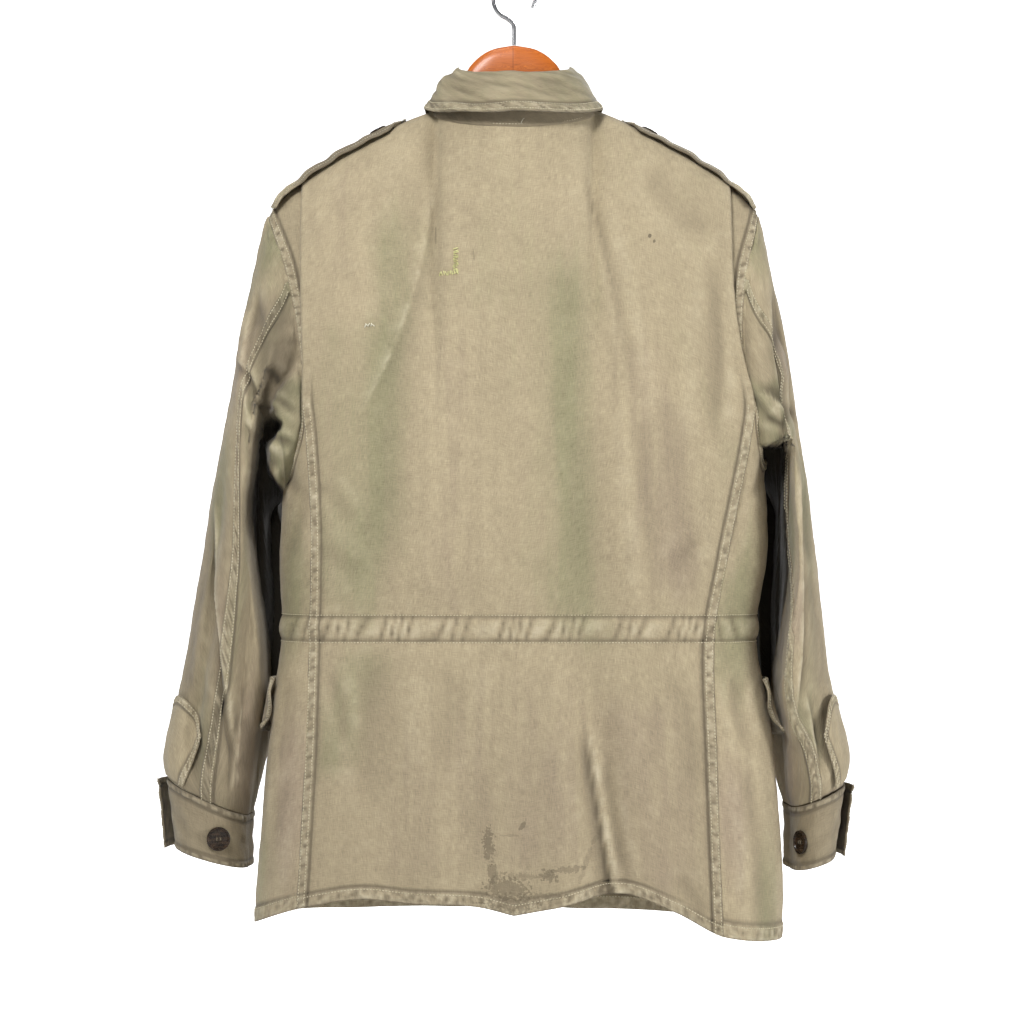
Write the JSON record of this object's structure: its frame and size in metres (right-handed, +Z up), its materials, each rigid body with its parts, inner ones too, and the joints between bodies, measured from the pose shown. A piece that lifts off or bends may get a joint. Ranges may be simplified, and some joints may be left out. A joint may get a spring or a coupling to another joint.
{
  "type": "field jacket on a wooden hanger",
  "caption": "Cotton field jacket with fall collar, shoulder straps, long cuffed sleeves and gathered drawcord waist, on a wooden hanger.",
  "frame": {"origin": "the inside top of the hanger's hook, where it rests on a rail", "axes": "+Z up; +Y out of the jacket's back; +X to the wearer's left"},
  "size_m": [0.669, 0.1821, 0.9189],
  "materials": {
    "cotton_sateen": "faded olive-khaki cotton sateen, matt",
    "button": "dark brown, satin",
    "hanger_wood": "orange-brown varnish, gloss",
    "hook_steel": "plated, bright"
  },
  "bodies": {
    "root": {"back": "cotton_sateen", "front_left": "cotton_sateen", "front_right": "cotton_sateen", "front_overlap": "cotton_sateen", "pleat_under_left": "cotton_sateen", "pleat_under_right": "cotton_sateen", "sleeve_upper_left": "cotton_sateen", "sleeve_under_left": "cotton_sateen", "sleeve_upper_right": "cotton_sateen", "sleeve_under_right": "cotton_sateen", "cuff_left": "cotton_sateen", "cuff_right": "cotton_sateen", "sleeve_vent_left": "cotton_sateen", "sleeve_vent_right": "cotton_sateen", "collar_stand": "cotton_sateen", "collar_fall": "cotton_sateen", "shoulder_strap_left": "cotton_sateen", "shoulder_strap_right": "cotton_sateen", "hip_flap_left": "cotton_sateen", "hip_flap_right": "cotton_sateen", "cuff_button_rear_left": "button", "cuff_button_lap_left": "button", "cuff_button_rear_right": "button", "cuff_button_lap_right": "button", "front_button_1": "button", "front_button_2": "button", "front_button_3": "button", "front_button_4": "button", "front_button_5": "button", "front_button_6": "button", "strap_button_left": "button", "strap_button_right": "button", "hanger": "hanger_wood", "hanger_hook": "hook_steel"}
  },
  "joints": []
}
